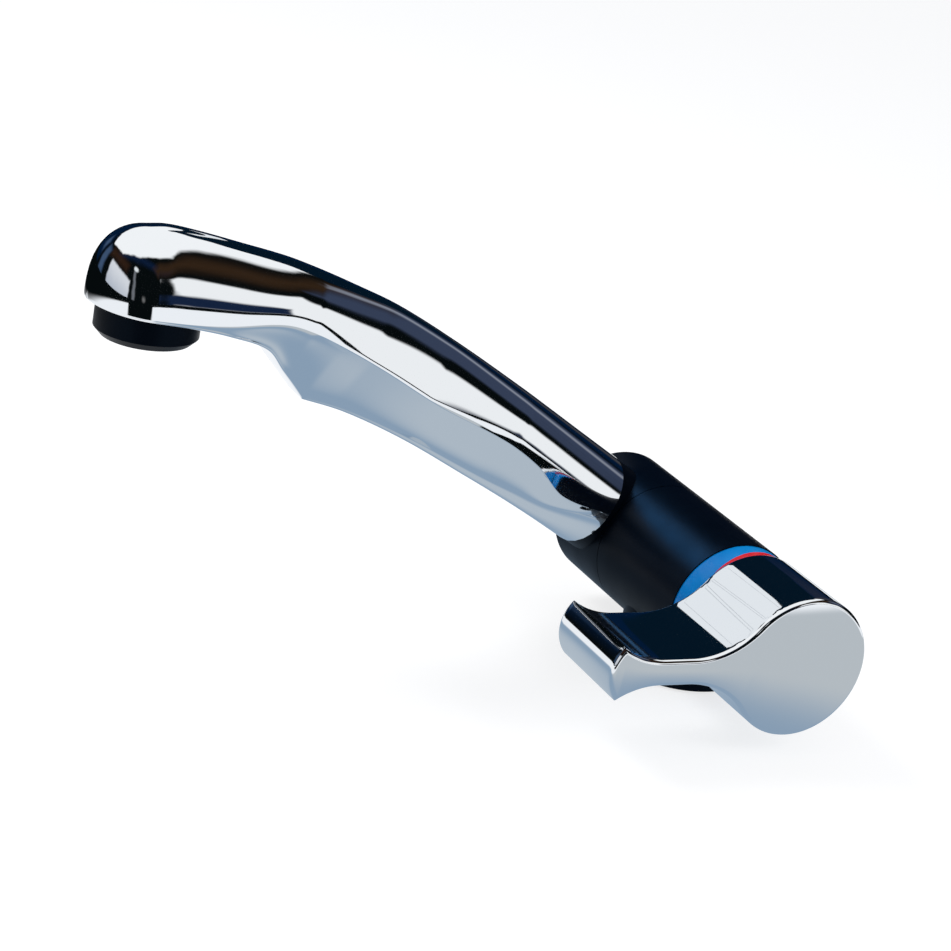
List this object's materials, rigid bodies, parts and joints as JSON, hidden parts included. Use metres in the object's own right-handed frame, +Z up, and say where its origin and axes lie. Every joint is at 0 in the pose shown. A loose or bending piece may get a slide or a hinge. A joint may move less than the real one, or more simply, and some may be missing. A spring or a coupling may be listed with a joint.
{
  "type": "mixer tap",
  "caption": "Worktop mixer tap with a horizontal body, side lever, hot and cold ring, and a chrome spout that folds down.",
  "frame": {"origin": "centre of the base's seat on the worktop", "axes": "+Z up out of the worktop, +X along the body axis towards the lever, spout towards -Y; rest pose is spout raised, lever closed"},
  "size_m": [0.1162, 0.2123, 0.2121],
  "materials": {
    "chrome_plate": "bright mirror chrome",
    "body_plastic": "satin black moulded plastic",
    "base_plastic": "satin black moulded plastic",
    "blue_plastic": "gloss blue",
    "red_plastic": "gloss red",
    "inner_plastic": "natural moulded plastic",
    "brass": "machined brass",
    "steel": "bright zinc-plated steel",
    "rubber": "matt black rubber",
    "ceramic": "lapped alumina"
  },
  "bodies": {
    "base": {"base_flange": "base_plastic", "base_gasket": "rubber", "mounting_shank": "brass", "clamp_rubber_washer": "rubber", "clamp_steel_washer": "steel", "mounting_nut": "brass", "base_slip_ring": "inner_plastic"},
    "body": {"body_shell": "body_plastic", "swivel_sleeve": "brass", "sleeve_clip": "steel", "hot_tail": "brass", "cold_tail": "brass", "sleeve_grommet": "rubber", "water_block": "brass", "cartridge_base": "inner_plastic", "port_seals": "rubber", "fixed_disc": "ceramic", "cartridge_housing": "inner_plastic", "cartridge_nut": "brass", "micro_switch": "base_plastic", "indicator_ring": "blue_plastic", "indicator_red": "red_plastic", "fold_stop_pin": "steel", "spigot": "brass", "spigot_orings": "rubber", "end_washer": "steel", "end_screw": "steel"},
    "rotor": {"cartridge_rotor": "inner_plastic", "pivot_pin": "steel"},
    "slider": {"moving_disc": "ceramic", "disc_carrier": "inner_plastic"},
    "plunger": {"switch_plunger": "inner_plastic"},
    "lever": {"lever": "chrome_plate", "lever_stem": "steel", "lever_set_screw": "steel", "lever_screw_plug": "chrome_plate"},
    "spout": {"swivel_ring": "body_plastic", "ring_end_cap": "body_plastic", "nose_seal": "rubber", "spout_shell": "chrome_plate", "spout_screw": "steel", "spout_tube": "inner_plastic", "head_insert": "base_plastic", "aerator_housing": "body_plastic", "aerator_insert": "body_plastic", "aerator_seal": "rubber"}
  },
  "joints": [
    {"name": "base_swivel", "type": "hinge", "parent": "base", "child": "body", "pos_m": [0, 0, 0], "axis": [0, 0, 1], "range_deg": [-90, 90]},
    {"name": "spout_fold", "type": "hinge", "parent": "body", "child": "spout", "pos_m": [-0.0378, 0, 0.028], "axis": [1, 0, 0], "range_deg": [0, 24]},
    {"name": "lever_turn", "type": "hinge", "parent": "body", "child": "rotor", "pos_m": [0.0225, 0, 0.028], "axis": [1, 0, 0], "range_deg": [-70, 15]},
    {"name": "lever_lift", "type": "hinge", "parent": "rotor", "child": "lever", "pos_m": [0.0225, 0, 0.028], "axis": [0, 0, 1], "range_deg": [0, 18]},
    {"name": "disc_slide", "type": "slide", "parent": "rotor", "child": "slider", "axis": [0, -1, 0], "range_m": [0, 0.0035]},
    {"name": "switch_press", "type": "slide", "parent": "body", "child": "plunger", "axis": [0, -1, 0], "range_m": [0, 0.00131]}
  ],
  "couplings": [
    {"joint": "disc_slide", "follows": "lever_lift", "m_per_rad": 0.011},
    {"joint": "switch_press", "follows": "lever_lift", "m_per_rad": 0.004138}
  ]
}
